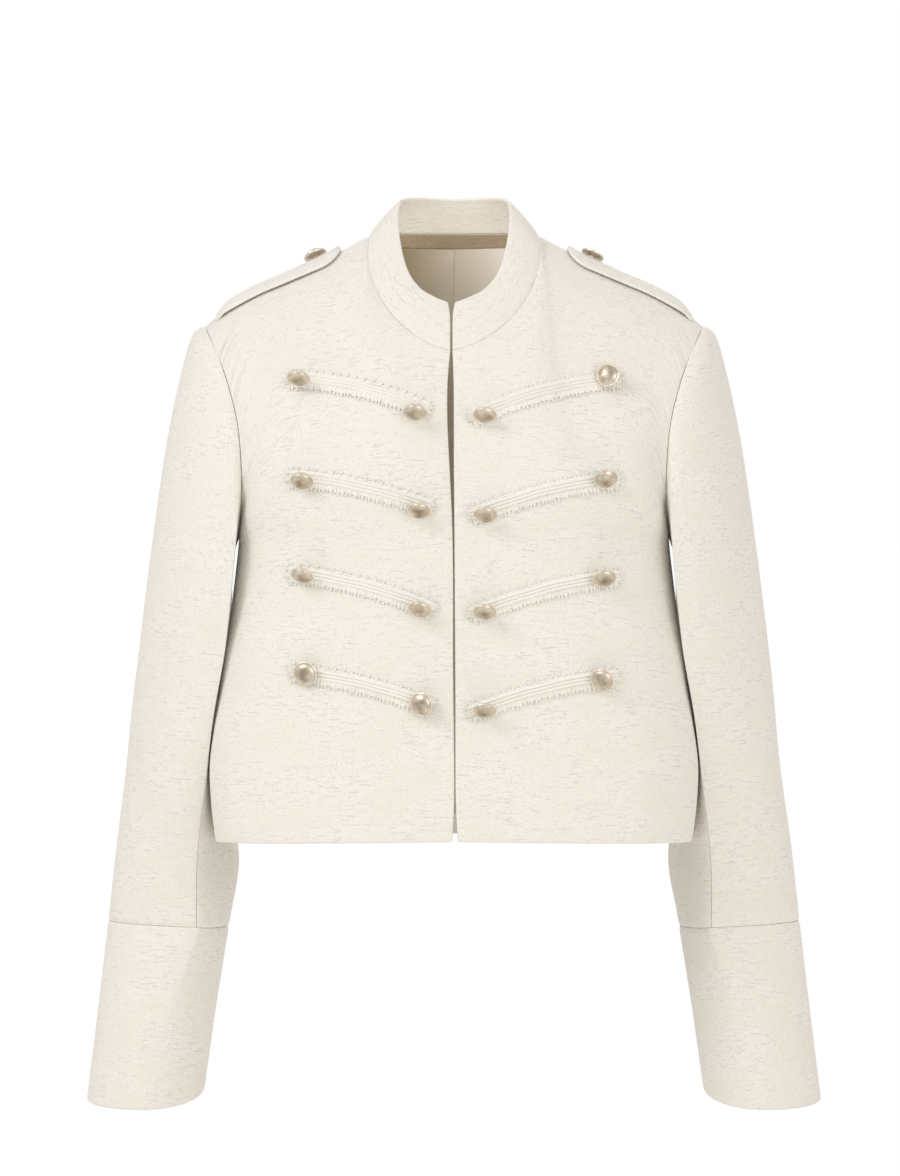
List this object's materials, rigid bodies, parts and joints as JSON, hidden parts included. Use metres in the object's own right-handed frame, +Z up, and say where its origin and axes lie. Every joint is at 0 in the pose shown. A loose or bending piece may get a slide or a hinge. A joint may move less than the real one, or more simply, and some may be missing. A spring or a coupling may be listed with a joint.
{
  "type": "tweed jacket",
  "caption": "Short hollow tweed jacket with a stand collar, edge-to-edge fronts, frayed braid trims, shoulder straps, shank buttons and deep cuffs, shown as worn.",
  "frame": {"origin": "middle of the neck base, where the wearer's neck and shoulders hold the jacket", "axes": "+Z up, the front faces -Y, +X is the wearer's left"},
  "size_m": [0.6006, 0.2652, 0.7381],
  "materials": {
    "tweed": "woven",
    "braid": "frayed",
    "lining": "satin",
    "button_metal": "satin"
  },
  "bodies": {
    "root": {"front_right": "tweed", "front_left": "tweed", "back": "tweed", "collar": "tweed", "back_neck_facing": "tweed", "top_sleeve_right": "tweed", "top_sleeve_left": "tweed", "under_sleeve_right": "tweed", "under_sleeve_left": "tweed", "cuff_right": "tweed", "cuff_left": "tweed", "strap_right": "tweed", "strap_left": "tweed", "back_lining": "lining", "trim_right_1": "braid", "trim_right_2": "braid", "trim_right_3": "braid", "trim_right_4": "braid", "trim_left_1": "braid", "trim_left_2": "braid", "trim_left_3": "braid", "trim_left_4": "braid", "button_right_1_outer": "button_metal", "button_right_1_inner": "button_metal", "button_right_2_outer": "button_metal", "button_right_2_inner": "button_metal", "button_right_3_outer": "button_metal", "button_right_3_inner": "button_metal", "button_right_4_outer": "button_metal", "button_right_4_inner": "button_metal", "button_left_1_outer": "button_metal", "button_left_1_inner": "button_metal", "button_left_2_outer": "button_metal", "button_left_2_inner": "button_metal", "button_left_3_outer": "button_metal", "button_left_3_inner": "button_metal", "button_left_4_outer": "button_metal", "button_left_4_inner": "button_metal", "button_strap_right": "button_metal", "button_strap_left": "button_metal"}
  },
  "joints": []
}
